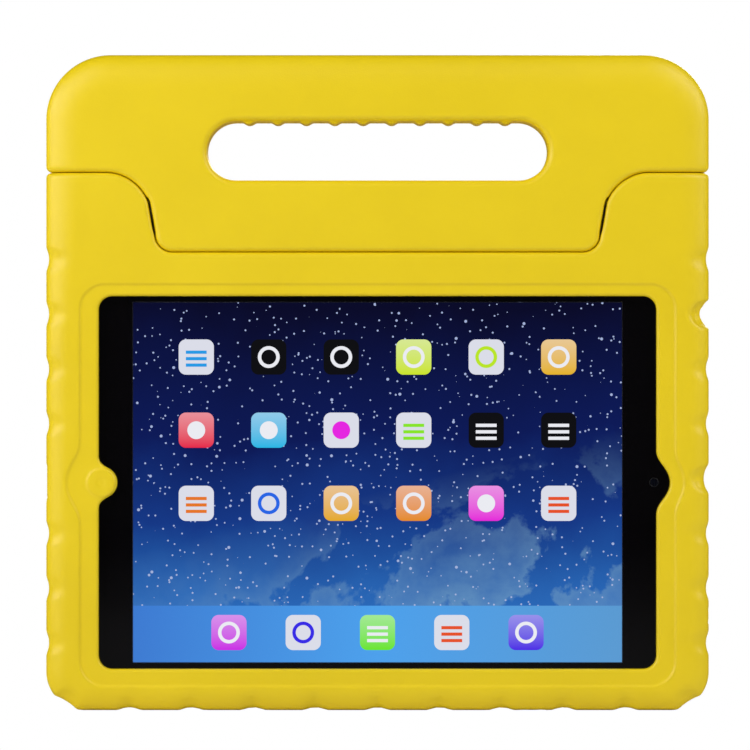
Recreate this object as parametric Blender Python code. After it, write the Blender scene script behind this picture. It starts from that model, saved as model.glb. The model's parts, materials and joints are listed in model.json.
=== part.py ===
"""Shockproof carry case for a tablet: a foam tray with a bumper edge and a hinged carry handle.

The case stands upright with the screen towards -Y. The origin is under the middle of its bottom edge.
The handle turns back about two pins along X and becomes a stand.
"""

import math

import bmesh
import bpy
from mathutils import Matrix, Vector

# Tablet
TABLET_WIDTH = 0.240
TABLET_HEIGHT = 0.1695
TABLET_DEPTH = 0.0075
TABLET_CORNER_RADIUS = 0.010
TABLET_BACK_ROUND = 0.004
GLASS_THICKNESS = 0.0010
GLASS_MARGIN = 0.0008
BORDER_WIDTH = 0.0215
BORDER_HEIGHT = 0.01225
DISPLAY_SINK = 0.0002

# Outer form of case and handle together, from the tablet outwards and upwards
SIDE_RAIL = 0.0135
BOTTOM_RAIL = 0.00705
PIVOT_RISE = 0.02225
SLOT_RISE = 0.0265
GRIP_BAR = 0.02675
CASE_DEPTH = 0.026
TOP_CORNER_RADIUS = 0.026
BOTTOM_CORNER_RADIUS = 0.0155
EDGE_WIDTH = 0.011
EDGE_DEPTH = 0.006

# Tray and front lip
LIP_DEPTH = 0.0055
TRAY_GAP = 0.0004
MESH_GAP = 0.0003
SIDE_LIP = 0.00775
END_LIP = 0.00975
WINDOW_CORNER_RADIUS = 0.0055
WINDOW_BLEND = 0.0045
CREASE_SIDE = 0.0075
CREASE_END = 0.00575
CREASE_DROP = 0.001
CREASE_DEPTH = 0.0006
CREASE_CORNER_RADIUS = 0.010
KEY_TAB_REACH = 0.0075
KEY_TAB_HALF_HEIGHT = 0.0065
KEY_TAB_ROOT = 0.0023
KEY_DISC_RADIUS = 0.0062
KEY_DISC_RISE = 0.0004
KEY_BULGE_HALF_HEIGHT = 0.0100
CAMERA_NOTCH_REACH = 0.0055
CAMERA_NOTCH_HALF_HEIGHT = 0.0040
CAMERA_NOTCH_ROOT = 0.0045
CAMERA_BULGE_HALF_HEIGHT = 0.0090
CAMERA_BULGE_REACH = 0.0023

# Knuckle joint between case and handle
KNUCKLE_RADIUS = 0.0175
SPLIT_GAP = 0.0005
SHOULDER_WIDTH = 0.0425
TONGUE_SLOPE = 0.176
SHOULDER_RADIUS = 0.018
TONGUE_CORNER_RADIUS = 0.006
FRONT_LIP_DROP = 0.0145
FOLD_ANGLE = math.radians(105)

# Pivots
PIN_RADIUS = 0.0033
PIN_GRIP = 0.014
BUSH_RADIUS = 0.0055
BUSH_LENGTH = 0.016
BUSH_INSET = 0.0010
PIN_RUNNING_GAP = 0.0003

# Hand slot
SLOT_INSET = 0.02225
SLOT_HEIGHT = 0.0239
SLOT_ROUND = 0.0025
RIDGE_COUNT = 10
RIDGE_END_SPACE = 0.00505
RIDGE_RADIUS = 0.0026
RIDGE_RISE = 0.0012

# Bumper grooves
SIDE_GROOVE_COUNT = 8
SIDE_GROOVE_START = 0.0271
SIDE_GROOVE_END_DROP = 0.01714
BOTTOM_GROOVE_COUNT = 9
BOTTOM_GROOVE_INSET = 0.0335
GROOVE_RADIUS = 0.00935
GROOVE_BITE = 0.0011
DEEP_GROOVE_BITE = 0.0020
JACK_GROOVE_RADIUS = 0.0068
JACK_GROOVE_BITE = 0.0032
CORNER_GROOVE_BITE = 0.0015
CORNER_GROOVE_ANGLE = math.radians(58)

# Ports and cut-outs
PORT_WIDTH = 0.016
PORT_DEPTH = 0.0085
PORT_CORNER_RADIUS = 0.002
SPEAKER_WIDTH = 0.010
SPEAKER_DEPTH = 0.0042
SPEAKER_CORNER_RADIUS = 0.0015
JACK_HOLE_RADIUS = 0.0040
SOCKET_WIDTH = 0.0085
SOCKET_DEPTH = 0.0026
SOCKET_CORNER_RADIUS = 0.001
SOCKET_REACH = 0.006
JACK_SOCKET_RADIUS = 0.0018
CAMERA_INSET = 0.0125
CAMERA_HOLE_RADIUS = 0.0065
CAMERA_HOLE_FLARE = 0.0035
CAMERA_LENS_RADIUS = 0.0038
CAMERA_LENS_RISE = 0.0006
FRONT_CAMERA_RADIUS = 0.0016
FRONT_CAMERA_INSET = 0.0085
PAD_WIDTH = 0.0055
PAD_CORNER_RADIUS = 0.0025
PAD_MOAT = 0.0020
PAD_DEPTH = 0.0009
VOLUME_PAD_LENGTH = 0.0085
POWER_PAD_LENGTH = 0.0060

# Facets and reach of the cutters
ARC_STEP = math.radians(14)
KNUCKLE_STEP = math.radians(11)
EDGE_RESOLUTION = 3
TUBE_RESOLUTION = 10
SLOT_ROUND_STEPS = 3
PAST = 0.002
WELD = 5e-6
FLAT = math.radians(0.1)

CASE_WIDTH = TABLET_WIDTH + 2 * SIDE_RAIL
TABLET_CENTRE_HEIGHT = BOTTOM_RAIL + TABLET_HEIGHT / 2
PIVOT_HEIGHT = BOTTOM_RAIL + TABLET_HEIGHT + PIVOT_RISE
SLOT_CENTRE_HEIGHT = PIVOT_HEIGHT + SLOT_RISE
CASE_HEIGHT = SLOT_CENTRE_HEIGHT + SLOT_HEIGHT / 2 + GRIP_BAR
HALF_WIDTH = CASE_WIDTH / 2
HALF_DEPTH = CASE_DEPTH / 2
SHOULDER_HEIGHT = PIVOT_HEIGHT + KNUCKLE_RADIUS
LIP_HEIGHT = PIVOT_HEIGHT - FRONT_LIP_DROP
TONGUE_HALF_WIDTH = HALF_WIDTH - SHOULDER_WIDTH
SLOT_LENGTH = 2 * (TONGUE_HALF_WIDTH - SLOT_INSET)
RIDGE_PITCH = (SLOT_LENGTH - SLOT_HEIGHT - 2 * RIDGE_END_SPACE) / (RIDGE_COUNT - 1)
SIDE_GROOVE_PITCH = (PIVOT_HEIGHT - SIDE_GROOVE_END_DROP - SIDE_GROOVE_START) / (SIDE_GROOVE_COUNT - 1)
BOTTOM_GROOVE_PITCH = (CASE_WIDTH - 2 * BOTTOM_GROOVE_INSET) / (BOTTOM_GROOVE_COUNT - 1)
WINDOW_HALF_WIDTH = TABLET_WIDTH / 2 - SIDE_LIP
WINDOW_HALF_HEIGHT = TABLET_HEIGHT / 2 - END_LIP
GLASS_FRONT = -HALF_DEPTH + LIP_DEPTH + TRAY_GAP
TABLET_BACK = GLASS_FRONT + TABLET_DEPTH
TABLET_MIDDLE = (GLASS_FRONT + TABLET_BACK) / 2
SIDES = {"left": -1, "right": 1}

FOAM = ("foam_yellow", (0.85, 0.64, 0.03), 0.55, 0.0)
BLACK_PLASTIC = ("pivot_plastic", (0.02, 0.02, 0.02), 0.4, 0.0)
SHELL_METAL = ("shell_metal", (0.55, 0.56, 0.58), 0.35, 1.0)
BORDER_GLASS = ("border_glass", (0.01, 0.01, 0.012), 0.08, 0.0)
SCREEN = ("screen_panel", (0.02, 0.05, 0.20), 0.10, 0.0)
LENS = ("lens_glass", (0.01, 0.01, 0.02), 0.05, 0.0)


def collection(name):
    group = bpy.data.collections.new(name)
    bpy.context.scene.collection.children.link(group)
    return group


def material(name, colour, roughness, metallic):
    found = bpy.data.materials.get(name)
    if found:
        return found
    made = bpy.data.materials.new(name)
    made.use_nodes = True
    shader = made.node_tree.nodes["Principled BSDF"]
    shader.inputs["Base Color"].default_value = (*colour, 1)
    shader.inputs["Roughness"].default_value = roughness
    shader.inputs["Metallic"].default_value = metallic
    return made


def evaluated_mesh(thing):
    bpy.context.view_layer.update()
    graph = bpy.context.evaluated_depsgraph_get()
    return bpy.data.meshes.new_from_object(thing.evaluated_get(graph))


def solid_from_curve(curve, matrix, group):
    """Turns a curve into a welded mesh object, with the matrix taken into its points."""
    holder = bpy.data.objects.new(curve.name, curve)
    group.objects.link(holder)
    mesh = evaluated_mesh(holder)
    bpy.data.objects.remove(holder)
    mesh.transform(matrix)
    work = bmesh.new()
    work.from_mesh(mesh)
    bmesh.ops.remove_doubles(work, verts=work.verts, dist=1e-6)
    bmesh.ops.recalc_face_normals(work, faces=work.faces)
    work.to_mesh(mesh)
    work.free()
    thing = bpy.data.objects.new(curve.name, mesh)
    group.objects.link(thing)
    return thing


def rounded(corners):
    """The points of a polygon of (x, z, radius) corners with its corners turned into arcs."""
    points = []
    for index, (x, z, radius) in enumerate(corners):
        here = Vector((x, z))
        back = (Vector(corners[index - 1][:2]) - here).normalized()
        ahead = (Vector(corners[(index + 1) % len(corners)][:2]) - here).normalized()
        turn = math.pi - back.angle(ahead)
        if radius == 0 or turn < 1e-4:
            points.append(here)
            continue
        reach = radius * math.tan(turn / 2)
        centre = here + (back + ahead).normalized() * radius / math.cos(turn / 2)
        start = here + back * reach - centre
        sense = 1 if back.x * ahead.y - back.y * ahead.x < 0 else -1
        steps = max(2, math.ceil(turn / ARC_STEP))
        for step in range(steps + 1):
            swing = Matrix.Rotation(sense * turn * step / steps, 2)
            points.append(centre + swing @ start)
    return points


def rectangle(x, z, half_x, half_z, radius=0):
    """Outline of a rectangle about the middle (x, z) with round corners."""
    corners = [(x + half_x, z + half_z), (x + half_x, z - half_z), (x - half_x, z - half_z), (x - half_x, z + half_z)]
    return rounded([(*corner, radius) for corner in corners])


def stadium(half_length, radius, z):
    """Outline of a lying slot with half-round ends, with as many points for any radius."""
    steps = math.ceil(math.pi / ARC_STEP)
    points = []
    for side in (1, -1):
        for step in range(steps + 1):
            angle = math.pi * (0.5 - step / steps)
            reach = half_length - radius + radius * math.cos(angle)
            points.append(Vector((side * reach, z + side * radius * math.sin(angle))))
    return points


def slab(name, points, front, back, group, edge_width=0, edge_depth=0):
    """Extrudes an outline in XZ from y = front to y = back, with its rims rounded elliptically."""
    curve = bpy.data.curves.new(name, "CURVE")
    curve.dimensions = "2D"
    curve.fill_mode = "BOTH"
    spline = curve.splines.new("POLY")
    spline.points.add(len(points) - 1)
    for target, point in zip(spline.points, points):
        target.co = (point[0], point[1], 0, 1)
    spline.use_cyclic_u = True
    squash = edge_depth / edge_width if edge_width else 1
    curve.extrude = (back - front) / 2 / squash - edge_width
    curve.bevel_depth = edge_width
    curve.offset = -edge_width
    curve.bevel_resolution = EDGE_RESOLUTION
    upright = Matrix.Rotation(math.pi / 2, 4, "X") @ Matrix.Diagonal((1, 1, squash, 1))
    place = Matrix.Translation((0, (front + back) / 2, 0)) @ upright
    return solid_from_curve(curve, place, group)


def tube(name, path, radius, group):
    """A round tube along (point, share of the radius) stations."""
    curve = bpy.data.curves.new(name, "CURVE")
    curve.dimensions = "3D"
    curve.fill_mode = "FULL"
    curve.bevel_depth = radius
    curve.bevel_resolution = TUBE_RESOLUTION
    curve.use_fill_caps = True
    spline = curve.splines.new("POLY")
    spline.points.add(len(path) - 1)
    for target, (point, share) in zip(spline.points, path):
        target.co = (*point, 1)
        target.radius = share
    return solid_from_curve(curve, Matrix.Identity(4), group)


def rod(name, start, end, radius, group, end_radius=None, sides=24):
    """A cylinder, or a cone where the end has its own radius."""
    work = bmesh.new()
    along = Vector(end) - Vector(start)
    turn = along.to_track_quat("Z", "Y").to_matrix().to_4x4()
    place = Matrix.Translation((Vector(start) + Vector(end)) / 2) @ turn
    bmesh.ops.create_cone(
        work,
        cap_ends=True,
        segments=sides,
        radius1=radius,
        radius2=radius if end_radius is None else end_radius,
        depth=along.length,
        matrix=place,
    )
    mesh = bpy.data.meshes.new(name)
    work.to_mesh(mesh)
    work.free()
    thing = bpy.data.objects.new(name, mesh)
    group.objects.link(thing)
    return thing


def turned(name, profile, start, end, group):
    """Turns a (x, radius) profile about the pivot line, from the top of the circle backwards.

    A whole turn takes a line that starts and ends on the pivot line.
    """
    work = bmesh.new()
    whole = end - start > 2 * math.pi - 1e-6
    swing = Matrix.Rotation(-start, 3, "X")
    line = [work.verts.new(swing @ Vector((x, 0, radius))) for x, radius in profile]
    turning = [work.edges.new(pair) for pair in zip(line, line[1:])] if whole else [work.faces.new(line)]
    bmesh.ops.spin(
        work,
        geom=turning,
        cent=(0, 0, 0),
        axis=(-1, 0, 0),
        angle=end - start,
        steps=math.ceil((end - start) / KNUCKLE_STEP),
        use_merge=whole,
    )
    bmesh.ops.remove_doubles(work, verts=work.verts, dist=1e-6)
    bmesh.ops.translate(work, verts=work.verts, vec=(0, 0, PIVOT_HEIGHT))
    bmesh.ops.recalc_face_normals(work, faces=work.faces)
    mesh = bpy.data.meshes.new(name)
    work.to_mesh(mesh)
    work.free()
    thing = bpy.data.objects.new(name, mesh)
    group.objects.link(thing)
    return thing


def lofted(name, rings, group):
    """A solid through (y, outline) rings that have as many points each."""
    work = bmesh.new()
    loops = [[work.verts.new((p[0], y, p[1])) for p in outline] for y, outline in rings]
    for near, far in zip(loops, loops[1:]):
        for index in range(len(near)):
            work.faces.new((near[index - 1], near[index], far[index], far[index - 1]))
    work.faces.new(loops[0])
    work.faces.new(loops[-1])
    bmesh.ops.recalc_face_normals(work, faces=work.faces)
    mesh = bpy.data.meshes.new(name)
    work.to_mesh(mesh)
    work.free()
    thing = bpy.data.objects.new(name, mesh)
    group.objects.link(thing)
    return thing


def joined(name, things, group):
    """Puts separate solids that don't touch into one object."""
    work = bmesh.new()
    for thing in things:
        work.from_mesh(thing.data)
        bpy.data.objects.remove(thing)
    mesh = bpy.data.meshes.new(name)
    work.to_mesh(mesh)
    work.free()
    made = bpy.data.objects.new(name, mesh)
    group.objects.link(made)
    return made


def weld(mesh):
    """Joins points closer than a hair, and faces that lie in one plane."""
    work = bmesh.new()
    work.from_mesh(mesh)
    bmesh.ops.remove_doubles(work, verts=work.verts, dist=WELD)
    bmesh.ops.dissolve_limit(work, angle_limit=FLAT, verts=work.verts, edges=work.edges)
    bmesh.ops.dissolve_degenerate(work, dist=WELD, edges=work.edges)
    work.to_mesh(mesh)
    work.free()


def boolean(thing, tool, operation="DIFFERENCE"):
    """Cuts, joins or intersects and keeps the result as the thing's own mesh."""
    step = thing.modifiers.new(tool.name, "BOOLEAN")
    step.operation = operation
    step.solver = "EXACT"
    step.object = tool
    mesh = evaluated_mesh(thing)
    thing.modifiers.clear()
    weld(mesh)
    thing.data = mesh
    tool.hide_render = True
    tool.display_type = "WIRE"


def finish(thing, look, origin=(0, 0, 0)):
    """Gives a thing its material and sets its origin."""
    thing.data.materials.clear()
    thing.data.materials.append(material(*look))
    thing.data.transform(Matrix.Translation(-Vector(origin)))
    thing.location = origin
    thing.data.shade_smooth()
    thing.data.set_sharp_from_angle(angle=math.radians(35))
    return thing


def split_x(height):
    """Half width of the tongue's sloping side at a height."""
    return TONGUE_HALF_WIDTH + (height - PIVOT_HEIGHT) * TONGUE_SLOPE


def outer_outline():
    """Silhouette of case and handle together."""
    right = [(HALF_WIDTH, CASE_HEIGHT, TOP_CORNER_RADIUS), (HALF_WIDTH, 0, BOTTOM_CORNER_RADIUS)]
    left = [(-x, z, corner) for x, z, corner in reversed(right)]
    return rounded(right + left)


def above_split(lip_height, gap):
    """Outline of all that lies above the split line, shrunk by a gap on every side."""
    side = HALF_WIDTH + 5 * PAST
    top = CASE_HEIGHT + 5 * PAST
    shoulder = SHOULDER_HEIGHT + gap
    right = [
        (side, top, 0),
        (side, shoulder, 0),
        (split_x(shoulder) - gap, shoulder, SHOULDER_RADIUS + gap),
        (split_x(lip_height) - gap, lip_height, TONGUE_CORNER_RADIUS),
    ]
    left = [(-x, z, corner) for x, z, corner in reversed(right)]
    return rounded(right + left)


def shoulder_sweep_profile():
    """(x, radius) outline of what the handle's underside sweeps over behind the shoulders."""
    outer = HALF_WIDTH + 5 * PAST
    reach = 2 * KNUCKLE_RADIUS + CASE_DEPTH
    outline = above_split(LIP_HEIGHT, 0)
    line = [p for p in outline if p.x > 0 and PIVOT_HEIGHT < p.y < CASE_HEIGHT]
    right = [(p.x, p.y - PIVOT_HEIGHT) for p in line if p.x < outer - PAST]
    right = [(outer, reach), (outer, KNUCKLE_RADIUS)] + right + [(split_x(PIVOT_HEIGHT), 0)]
    left = [(-x, radius) for x, radius in reversed(right)]
    return right + left


def cone_profile(radius, side, corner):
    """(x, radius) outline of a solid about the pivot line whose sides lie along the tongue's sides."""
    end = split_x(PIVOT_HEIGHT - KNUCKLE_RADIUS) + side - split_x(PIVOT_HEIGHT)
    return rounded([(-side, 0, 0), (-end, radius, corner), (end, radius, corner), (side, 0, 0)])


def window_outline():
    """Screen opening, with the tab over the home key at the left and the camera notch at the right."""
    side, middle = WINDOW_HALF_WIDTH, TABLET_CENTRE_HEIGHT
    top, bottom = middle + WINDOW_HALF_HEIGHT, middle - WINDOW_HALF_HEIGHT
    corner, blend = WINDOW_CORNER_RADIUS, WINDOW_BLEND
    corners = [(side, bottom, corner), (-side, bottom, corner)]
    corners += bump(-side, KEY_TAB_REACH, KEY_TAB_HALF_HEIGHT, KEY_TAB_ROOT, blend, 1)
    corners += [(-side, top, corner), (side, top, corner)]
    corners += bump(side, CAMERA_NOTCH_REACH, CAMERA_NOTCH_HALF_HEIGHT, CAMERA_NOTCH_ROOT, blend, -1)
    return rounded(corners)


def bump(x, reach, half_height, root, blend, upward):
    """Corners of a rounded bump that stands out to the right of a vertical edge, wider at its root."""
    tip = half_height - root / 4
    corners = [(x, -half_height - root, blend), (x + reach, -tip, tip), (x + reach, tip, tip),
               (x, half_height + root, blend)]
    return [(at, TABLET_CENTRE_HEIGHT + up, radius) for at, up, radius in corners[::upward]]


def crease_outline():
    """The shallow step round the window, with its bulges round the tab and the notch."""
    side, middle = WINDOW_HALF_WIDTH + CREASE_SIDE, TABLET_CENTRE_HEIGHT - CREASE_DROP
    top = middle + WINDOW_HALF_HEIGHT + CREASE_END
    bottom = middle - WINDOW_HALF_HEIGHT - CREASE_END
    corner, blend = CREASE_CORNER_RADIUS, WINDOW_BLEND
    corners = [(side, bottom, corner), (-side, bottom, corner)]
    corners += bump(-side, -KEY_TAB_HALF_HEIGHT, KEY_BULGE_HALF_HEIGHT / 2, KEY_BULGE_HALF_HEIGHT / 2, blend, 1)
    corners += [(-side, top, corner), (side, top, corner)]
    corners += bump(side, CAMERA_BULGE_REACH, CAMERA_BULGE_HALF_HEIGHT / 2, CAMERA_BULGE_HALF_HEIGHT / 2,
                    blend, -1)
    return rounded(corners)


def tablet_outline(grow):
    return rectangle(0, TABLET_CENTRE_HEIGHT, TABLET_WIDTH / 2 + grow, TABLET_HEIGHT / 2 + grow,
                     TABLET_CORNER_RADIUS + grow)


def tablet_form(name, front, grow, group):
    """The tablet's outer form with its rounded back rim, grown by a fitting gap."""
    form = slab(name, tablet_outline(grow), front, TABLET_BACK + grow, group)
    work = bmesh.new()
    work.from_mesh(form.data)
    bmesh.ops.dissolve_limit(work, angle_limit=math.radians(1), verts=work.verts, edges=work.edges)
    back = [e for e in work.edges if min(v.co.y for v in e.verts) > TABLET_BACK + grow - 1e-5]
    rim = [e for e in back if any(abs(face.normal.y) < 0.5 for face in e.link_faces)]
    bmesh.ops.bevel(work, geom=rim, offset=TABLET_BACK_ROUND, segments=3, profile=0.5, affect="EDGES")
    work.to_mesh(form.data)
    work.free()
    return form


def groove(base, outward, rim, radius, bite, group):
    """A groove across the bumper edge, wrapping both of its rounded rims.

    base is a point (x, z), outward the direction in XZ in which the edge lies, and rim its distance.
    """
    ring = []
    for degrees, share in ((95, -0.3), (75, 0.1), (50, 0.75), (25, 1), (0, 1)):
        angle = math.radians(degrees)
        out = Vector((math.cos(angle) / EDGE_WIDTH, math.sin(angle) / EDGE_DEPTH)).normalized()
        reach = rim - EDGE_WIDTH * (1 - math.cos(angle))
        depth = HALF_DEPTH - EDGE_DEPTH * (1 - math.sin(angle))
        ring.append(Vector((reach, depth)) + out * (radius - bite * share))
    ring = [(r.x, -r.y) for r in ring] + [(r.x, r.y) for r in reversed(ring)]
    path = []
    for reach, depth in ring:
        path.append(((base[0] + outward[0] * reach, depth, base[1] + outward[1] * reach), 1))
    return tube("groove", path, radius, group)


def side_groove_height(index):
    return SIDE_GROOVE_START + SIDE_GROOVE_PITCH * index


def grooves(group):
    """All the bumper grooves. The left middle one gives way to the charging port."""
    made = []
    port_index = round((TABLET_CENTRE_HEIGHT - SIDE_GROOVE_START) / SIDE_GROOVE_PITCH)
    jack_index = SIDE_GROOVE_COUNT - 2
    for index in range(SIDE_GROOVE_COUNT):
        base = (0, side_groove_height(index))
        if index != port_index:
            made.append(groove(base, (-1, 0), HALF_WIDTH, GROOVE_RADIUS, GROOVE_BITE, group))
        radius = JACK_GROOVE_RADIUS if index == jack_index else GROOVE_RADIUS
        bite = {jack_index: JACK_GROOVE_BITE, port_index: DEEP_GROOVE_BITE}.get(index, GROOVE_BITE)
        made.append(groove(base, (1, 0), HALF_WIDTH, radius, bite, group))
    for index in range(BOTTOM_GROOVE_COUNT):
        base = ((index - (BOTTOM_GROOVE_COUNT - 1) / 2) * BOTTOM_GROOVE_PITCH, 0)
        made.append(groove(base, (0, -1), 0, GROOVE_RADIUS, GROOVE_BITE, group))
    for side in SIDES.values():
        base = (side * (HALF_WIDTH - BOTTOM_CORNER_RADIUS), BOTTOM_CORNER_RADIUS)
        outward = (side * math.cos(CORNER_GROOVE_ANGLE), -math.sin(CORNER_GROOVE_ANGLE))
        made.append(groove(base, outward, BOTTOM_CORNER_RADIUS, GROOVE_RADIUS, CORNER_GROOVE_BITE, group))
    return joined("grooves", made, group)


def side_hole(name, side, height, width, depth, corner, inner, outer, group):
    """A hole with round corners through a side wall, between two distances from the middle plane."""
    outline = rectangle(TABLET_MIDDLE, height, depth / 2, width / 2, corner)
    ends = sorted((-side * inner, -side * outer))
    hole = slab(name, outline, *ends, group)
    hole.data.transform(Matrix.Rotation(math.pi / 2, 4, "Z"))
    return hole


def button_pads(group):
    """Moats round the pads over the volume keys (bottom edge) and the power key (right edge)."""
    made = []
    volume_x = BOTTOM_GROOVE_PITCH * 5 / 2
    power_z = SIDE_GROOVE_START + SIDE_GROOVE_PITCH / 2
    for name, length, x, z in (
        ("volume_moat", VOLUME_PAD_LENGTH, volume_x, 0),
        ("power_moat", POWER_PAD_LENGTH, HALF_WIDTH, power_z),
    ):
        across, along = PAD_WIDTH / 2, length / 2
        outer = rectangle(0, 0, along + PAD_MOAT, across + PAD_MOAT, PAD_CORNER_RADIUS + PAD_MOAT)
        moat = slab(name, outer, -PAD_DEPTH, PAST, group)
        inner = rectangle(0, 0, along, across, PAD_CORNER_RADIUS)
        island = slab(name + "_island", inner, -2 * PAD_DEPTH, 2 * PAST, group)
        boolean(moat, island)
        bpy.data.objects.remove(island)
        if z:
            turn = Matrix(((0, 1, 0, x), (0, 0, 1, TABLET_MIDDLE), (1, 0, 0, z), (0, 0, 0, 1)))
        else:
            turn = Matrix(((1, 0, 0, x), (0, 0, 1, TABLET_MIDDLE), (0, -1, 0, 0), (0, 0, 0, 1)))
        moat.data.transform(turn)
        made.append(moat)
    return joined("button_moats", made, group)


def make_case(parts, cutters):
    case = slab("case_body", outer_outline(), -HALF_DEPTH, HALF_DEPTH, parts, EDGE_WIDTH, EDGE_DEPTH)
    deep = HALF_DEPTH + PAST
    boolean(case, tablet_form("tablet_space", GLASS_FRONT - TRAY_GAP, TRAY_GAP, cutters))
    boolean(case, slab("window", window_outline(), -deep, TABLET_MIDDLE, cutters))
    boolean(case, slab("crease", crease_outline(), -deep, CREASE_DEPTH - HALF_DEPTH, cutters))
    disc_x = KEY_TAB_REACH - WINDOW_HALF_WIDTH - KEY_DISC_RADIUS
    disc_front = CREASE_DEPTH - HALF_DEPTH - KEY_DISC_RISE
    disc_back = disc_front + LIP_DEPTH / 2
    disc = rod("key_disc", (disc_x, disc_back, TABLET_CENTRE_HEIGHT), (disc_x, disc_front, TABLET_CENTRE_HEIGHT),
               KEY_DISC_RADIUS, cutters, KEY_DISC_RADIUS - KEY_DISC_RISE)
    boolean(case, disc, "UNION")

    boolean(case, grooves(cutters))
    tray_side = TABLET_WIDTH / 2 - TABLET_BACK_ROUND
    outside = HALF_WIDTH + PAST
    holes = [side_hole("port", -1, TABLET_CENTRE_HEIGHT, PORT_WIDTH, PORT_DEPTH, PORT_CORNER_RADIUS,
                       tray_side, outside, cutters)]
    for turn in SIDES.values():
        height = TABLET_CENTRE_HEIGHT + turn * SIDE_GROOVE_PITCH * 3 / 2
        holes.append(side_hole("speaker", -1, height, SPEAKER_WIDTH, SPEAKER_DEPTH, SPEAKER_CORNER_RADIUS,
                               tray_side, outside, cutters))
    jack_height = side_groove_height(SIDE_GROOVE_COUNT - 2)
    holes.append(
        rod("jack", (tray_side, TABLET_MIDDLE, jack_height), (outside, TABLET_MIDDLE, jack_height),
            JACK_HOLE_RADIUS, cutters)
    )
    camera_x, camera_z = rear_camera_place()
    holes.append(
        rod("camera", (camera_x, TABLET_BACK - TABLET_BACK_ROUND / 2, camera_z),
            (camera_x, HALF_DEPTH + PAST, camera_z), CAMERA_HOLE_RADIUS, cutters,
            CAMERA_HOLE_RADIUS + CAMERA_HOLE_FLARE)
    )
    boolean(case, joined("ports", holes, cutters))
    boolean(case, button_pads(cutters))

    sockets = []
    for side in SIDES.values():
        start = split_x(PIVOT_HEIGHT) - 2 * PAST
        end = split_x(PIVOT_HEIGHT) + PIN_GRIP + MESH_GAP
        sockets.append(pivot_rod("pin_socket", side, start, end, PIN_RADIUS + MESH_GAP, cutters))
    boolean(case, joined("pin_sockets", sockets, cutters))

    boolean(case, slab("handle_space", above_split(LIP_HEIGHT, 0), -deep, deep, cutters))
    boolean(case, turned("shoulder_sweep", shoulder_sweep_profile(), math.radians(2),
                         FOLD_ANGLE - math.radians(5), cutters))
    boolean(case, knuckle_space(cutters))
    reach = HALF_DEPTH + SPLIT_GAP
    folded = slab("folded_space", above_split(LIP_HEIGHT, 0), -reach, reach, cutters)
    about = Matrix.Translation((0, 0, PIVOT_HEIGHT))
    folded.data.transform(about @ Matrix.Rotation(-FOLD_ANGLE, 4, "X") @ about.inverted())
    boolean(case, folded)
    return finish(case, FOAM)


def knuckle_space(group):
    """The space that the tongue's round bottom turns in."""
    profile = cone_profile(KNUCKLE_RADIUS + SPLIT_GAP, tongue_side(), TONGUE_CORNER_RADIUS + SPLIT_GAP)
    return turned("knuckle_space", profile, 0, 2 * math.pi, group)


def rear_camera_place():
    x = TABLET_WIDTH / 2 - CAMERA_INSET
    return x, TABLET_CENTRE_HEIGHT - TABLET_HEIGHT / 2 + CAMERA_INSET


def pivot_rod(name, side, start, end, radius, group):
    return rod(name, (side * start, 0, PIVOT_HEIGHT), (side * end, 0, PIVOT_HEIGHT), radius, group)


def tongue_side():
    """Half width of the tongue at the pivot."""
    return split_x(PIVOT_HEIGHT) - SPLIT_GAP


def handle_section(group):
    """Cutter that ends the handle at the lip in front, and at the height of the pivots behind."""
    far, toe, top = HALF_DEPTH + 2 * PAST, LIP_HEIGHT - PAST, CASE_HEIGHT + 6 * PAST
    corners = [(-far, toe), (-far, top), (far, top), (far, PIVOT_HEIGHT), (0, PIVOT_HEIGHT), (0, toe)]
    section = slab("handle_section", [Vector(corner) for corner in corners],
                   -HALF_WIDTH - 6 * PAST, HALF_WIDTH + 6 * PAST, group)
    section.data.transform(Matrix.Rotation(math.pi / 2, 4, "Z") @ Matrix.Diagonal((1, -1, 1, 1)))
    section.data.flip_normals()
    return section


def tongue_bottom(group):
    """The tongue's back below the pivots, which is round about them and trimmed flush with the back."""
    profile = cone_profile(KNUCKLE_RADIUS, tongue_side() - SPLIT_GAP, TONGUE_CORNER_RADIUS)
    toe_angle = math.acos(FRONT_LIP_DROP / KNUCKLE_RADIUS)
    bottom = turned("tongue_bottom", profile, math.pi / 2 - KNUCKLE_STEP,
                    math.pi + toe_angle + KNUCKLE_STEP / 2, group)
    outline = rectangle(0, PIVOT_HEIGHT, HALF_WIDTH, 2 * KNUCKLE_RADIUS)
    boolean(bottom, slab("back_plane", outline, -2 * CASE_DEPTH, HALF_DEPTH, group), "INTERSECT")
    return bottom


def hand_slot(group):
    """The slot for the hand, which opens round towards both faces."""
    stations = [(HALF_DEPTH + PAST, SLOT_ROUND)]
    for step in range(SLOT_ROUND_STEPS + 1):
        angle = math.pi / 2 * step / SLOT_ROUND_STEPS
        deep = HALF_DEPTH - SLOT_ROUND * (1 - math.cos(angle))
        stations.append((deep, SLOT_ROUND * (1 - math.sin(angle))))
    rings = []
    for y, grow in [(-y, grow) for y, grow in stations] + stations[::-1]:
        outline = stadium(SLOT_LENGTH / 2 + grow, SLOT_HEIGHT / 2 + grow, SLOT_CENTRE_HEIGHT)
        rings.append((y, outline))
    return lofted("hand_slot", rings, group)


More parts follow.
